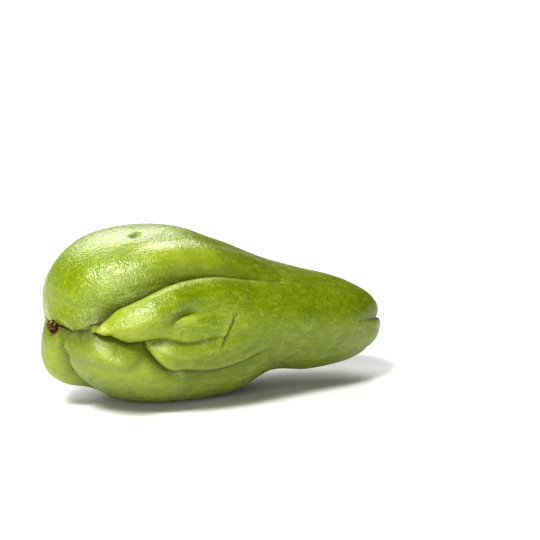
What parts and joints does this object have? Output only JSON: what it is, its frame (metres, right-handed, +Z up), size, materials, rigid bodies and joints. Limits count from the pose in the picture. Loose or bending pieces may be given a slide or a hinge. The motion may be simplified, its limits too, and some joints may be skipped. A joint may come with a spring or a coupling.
{
  "type": "chayote squash",
  "caption": "Whole green chayote squash, pear-shaped and deeply folded at both ends, with a dried blossom remnant, lying on its side.",
  "frame": {"origin": "on the resting surface, under the middle of the fruit's box", "axes": "+X runs along the fruit from its broad blossom end to its narrow stem end, +Z is up, and +Y is to the left when looking from the blossom end to the stem end"},
  "size_m": [0.1492, 0.0858, 0.0719],
  "materials": {
    "green_skin": "waxy green skin, paler on top and on the rims of the folds, darker in the folds",
    "dried_tissue": "dry, rough and brown"
  },
  "bodies": {
    "root": {"fruit": "green_skin", "dried_blossom": "dried_tissue"}
  },
  "joints": []
}
